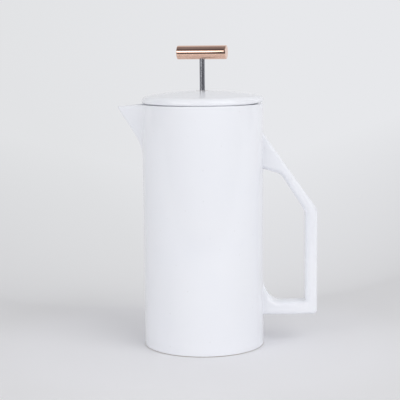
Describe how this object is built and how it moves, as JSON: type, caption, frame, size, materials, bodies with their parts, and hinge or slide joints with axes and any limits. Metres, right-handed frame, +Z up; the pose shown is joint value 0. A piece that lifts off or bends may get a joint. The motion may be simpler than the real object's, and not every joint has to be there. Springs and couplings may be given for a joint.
{
  "type": "french press",
  "caption": "White glazed stoneware french press: tall straight pot with a pointed beak spout and an angular handle, domed lid, and a plunger with a copper cross knob and a sprung mesh filter.",
  "frame": {"origin": "on the pot's axis, in the plane that the foot ring stands on", "axes": "+Z up along the plunger, +X towards the handle, -X towards the spout"},
  "size_m": [0.1481, 0.0904, 0.2243],
  "materials": {
    "glazed_stoneware": "slip-cast stoneware under a glossy cool-white glaze",
    "polished_copper": "solid copper, turned and polished",
    "polished_steel": "stainless steel, drawn and polished",
    "stamped_steel": "stainless steel sheet, stamped and tumbled",
    "wire_mesh": "fine woven stainless steel wire",
    "bush_plastic": "turned white acetal"
  },
  "bodies": {
    "pot": {"pot": "glazed_stoneware", "handle": "glazed_stoneware"},
    "lid": {"lid": "glazed_stoneware"},
    "guide_bush": {"lid_guide_bush": "bush_plastic", "bush_retaining_ring": "stamped_steel"},
    "plunger": {"plunger_rod": "polished_steel", "knob": "polished_copper", "lock_nut": "polished_steel", "spiral_plate": "stamped_steel", "edge_spring": "polished_steel", "filter_screen": "wire_mesh", "screen_grommet": "stamped_steel", "cross_plate": "stamped_steel", "hub_nut": "polished_steel"}
  },
  "joints": [
    {"name": "lid_lift", "type": "slide", "parent": "pot", "child": "lid", "axis": [0, 0, 1], "range_m": [0, 0.2]},
    {"name": "plunger_turn", "type": "hinge", "parent": "lid", "child": "guide_bush", "pos_m": [0, 0, 0.19], "axis": [0, 0, 1], "continuous": true},
    {"name": "plunger_travel", "type": "slide", "parent": "guide_bush", "child": "plunger", "axis": [0, 0, 1], "range_m": [0, 0.15]}
  ]
}
